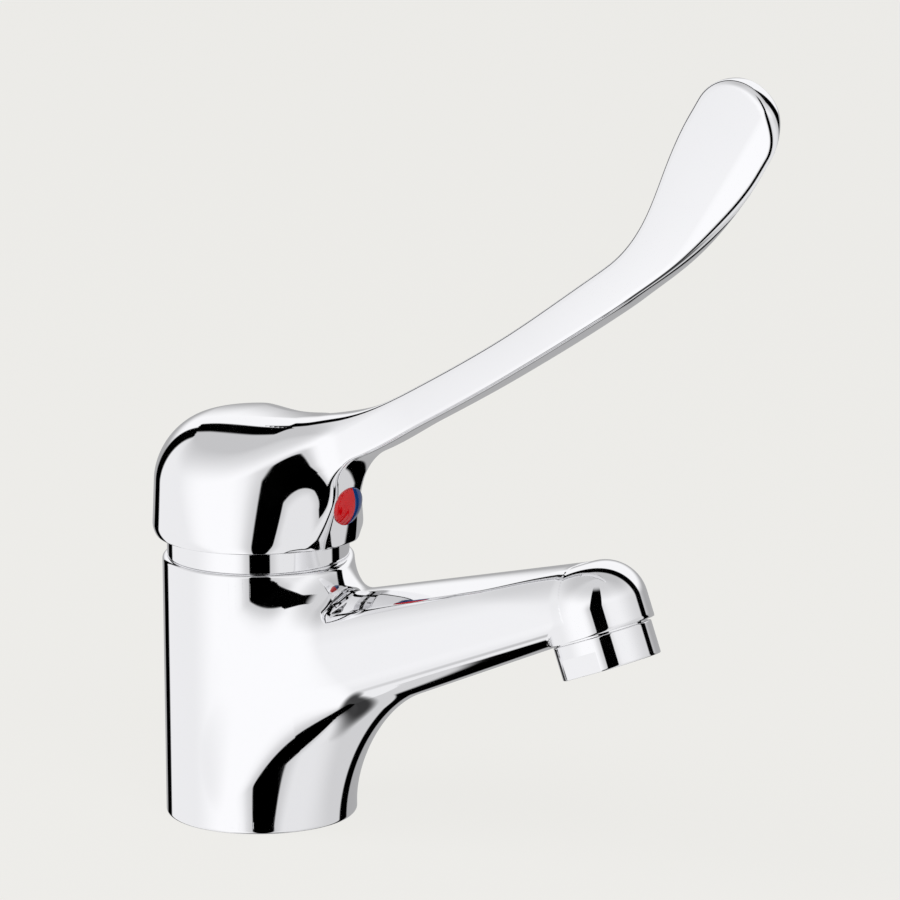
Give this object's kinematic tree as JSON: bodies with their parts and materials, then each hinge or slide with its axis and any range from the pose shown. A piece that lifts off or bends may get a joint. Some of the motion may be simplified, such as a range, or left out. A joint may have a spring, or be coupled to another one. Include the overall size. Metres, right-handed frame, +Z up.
{
  "type": "basin mixer tap",
  "caption": "Single-hole basin mixer with a cast body and forward spout, a long paddle lever over a ceramic disc cartridge, a hot and cold indicator plug and a tilted aerator.",
  "frame": {"origin": "on the body's axis, at the underside of the body where it stands on the basin's deck", "axes": "+Z up along the body's axis; +X forward along the spout and the lever; +Y to the cold side, so the hot side is -Y"},
  "size_m": [0.1848, 0.0522, 0.202],
  "materials": {
    "chrome": "polished chrome plate",
    "seal_rubber": "black moulded rubber",
    "cartridge_plastic": "white moulded plastic",
    "carrier_plastic": "dark blue moulded plastic",
    "ceramic": "ground and lapped ceramic",
    "brass": "turned brass",
    "spindle_steel": "machined steel",
    "indicator_red": "glossy red plastic",
    "indicator_blue": "glossy blue plastic",
    "aerator_plastic": "light grey moulded plastic"
  },
  "bodies": {
    "fixed": {"tap_body": "chrome", "base_seal": "seal_rubber", "cartridge_base": "cartridge_plastic", "port_seals": "seal_rubber", "disc_seals": "seal_rubber", "fixed_disc": "ceramic", "cartridge_housing": "cartridge_plastic", "body_seal": "seal_rubber", "stop_ring": "indicator_red", "cartridge_nut": "brass", "cover_ring": "chrome", "aerator_housing": "chrome", "aerator_washer": "seal_rubber", "aerator_grid": "aerator_plastic", "aerator_jets": "aerator_plastic", "flow_regulator": "seal_rubber", "aerator_filter": "aerator_plastic"},
    "turret": {"spindle_guide": "carrier_plastic", "spindle_pin": "spindle_steel"},
    "lever": {"lever_handle": "chrome", "spindle": "spindle_steel", "grub_screw": "spindle_steel", "indicator_hot": "indicator_red", "indicator_cold": "indicator_blue"},
    "disc": {"moving_disc": "ceramic", "disc_carrier": "carrier_plastic"}
  },
  "joints": [
    {"name": "lever_turn", "type": "hinge", "parent": "fixed", "child": "turret", "pos_m": [0, 0, 0.06], "axis": [0, 0, 1], "range_deg": [-50, 50]},
    {"name": "lever_lift", "type": "hinge", "parent": "turret", "child": "lever", "pos_m": [0, 0, 0.06], "axis": [0, -1, 0], "range_deg": [0, 25]},
    {"name": "disc_slide", "type": "slide", "parent": "turret", "child": "disc", "axis": [1, 0, 0], "range_m": [0, 0.0041]}
  ],
  "couplings": [
    {"joint": "disc_slide", "follows": "lever_lift", "m_per_rad": 0.0093}
  ]
}
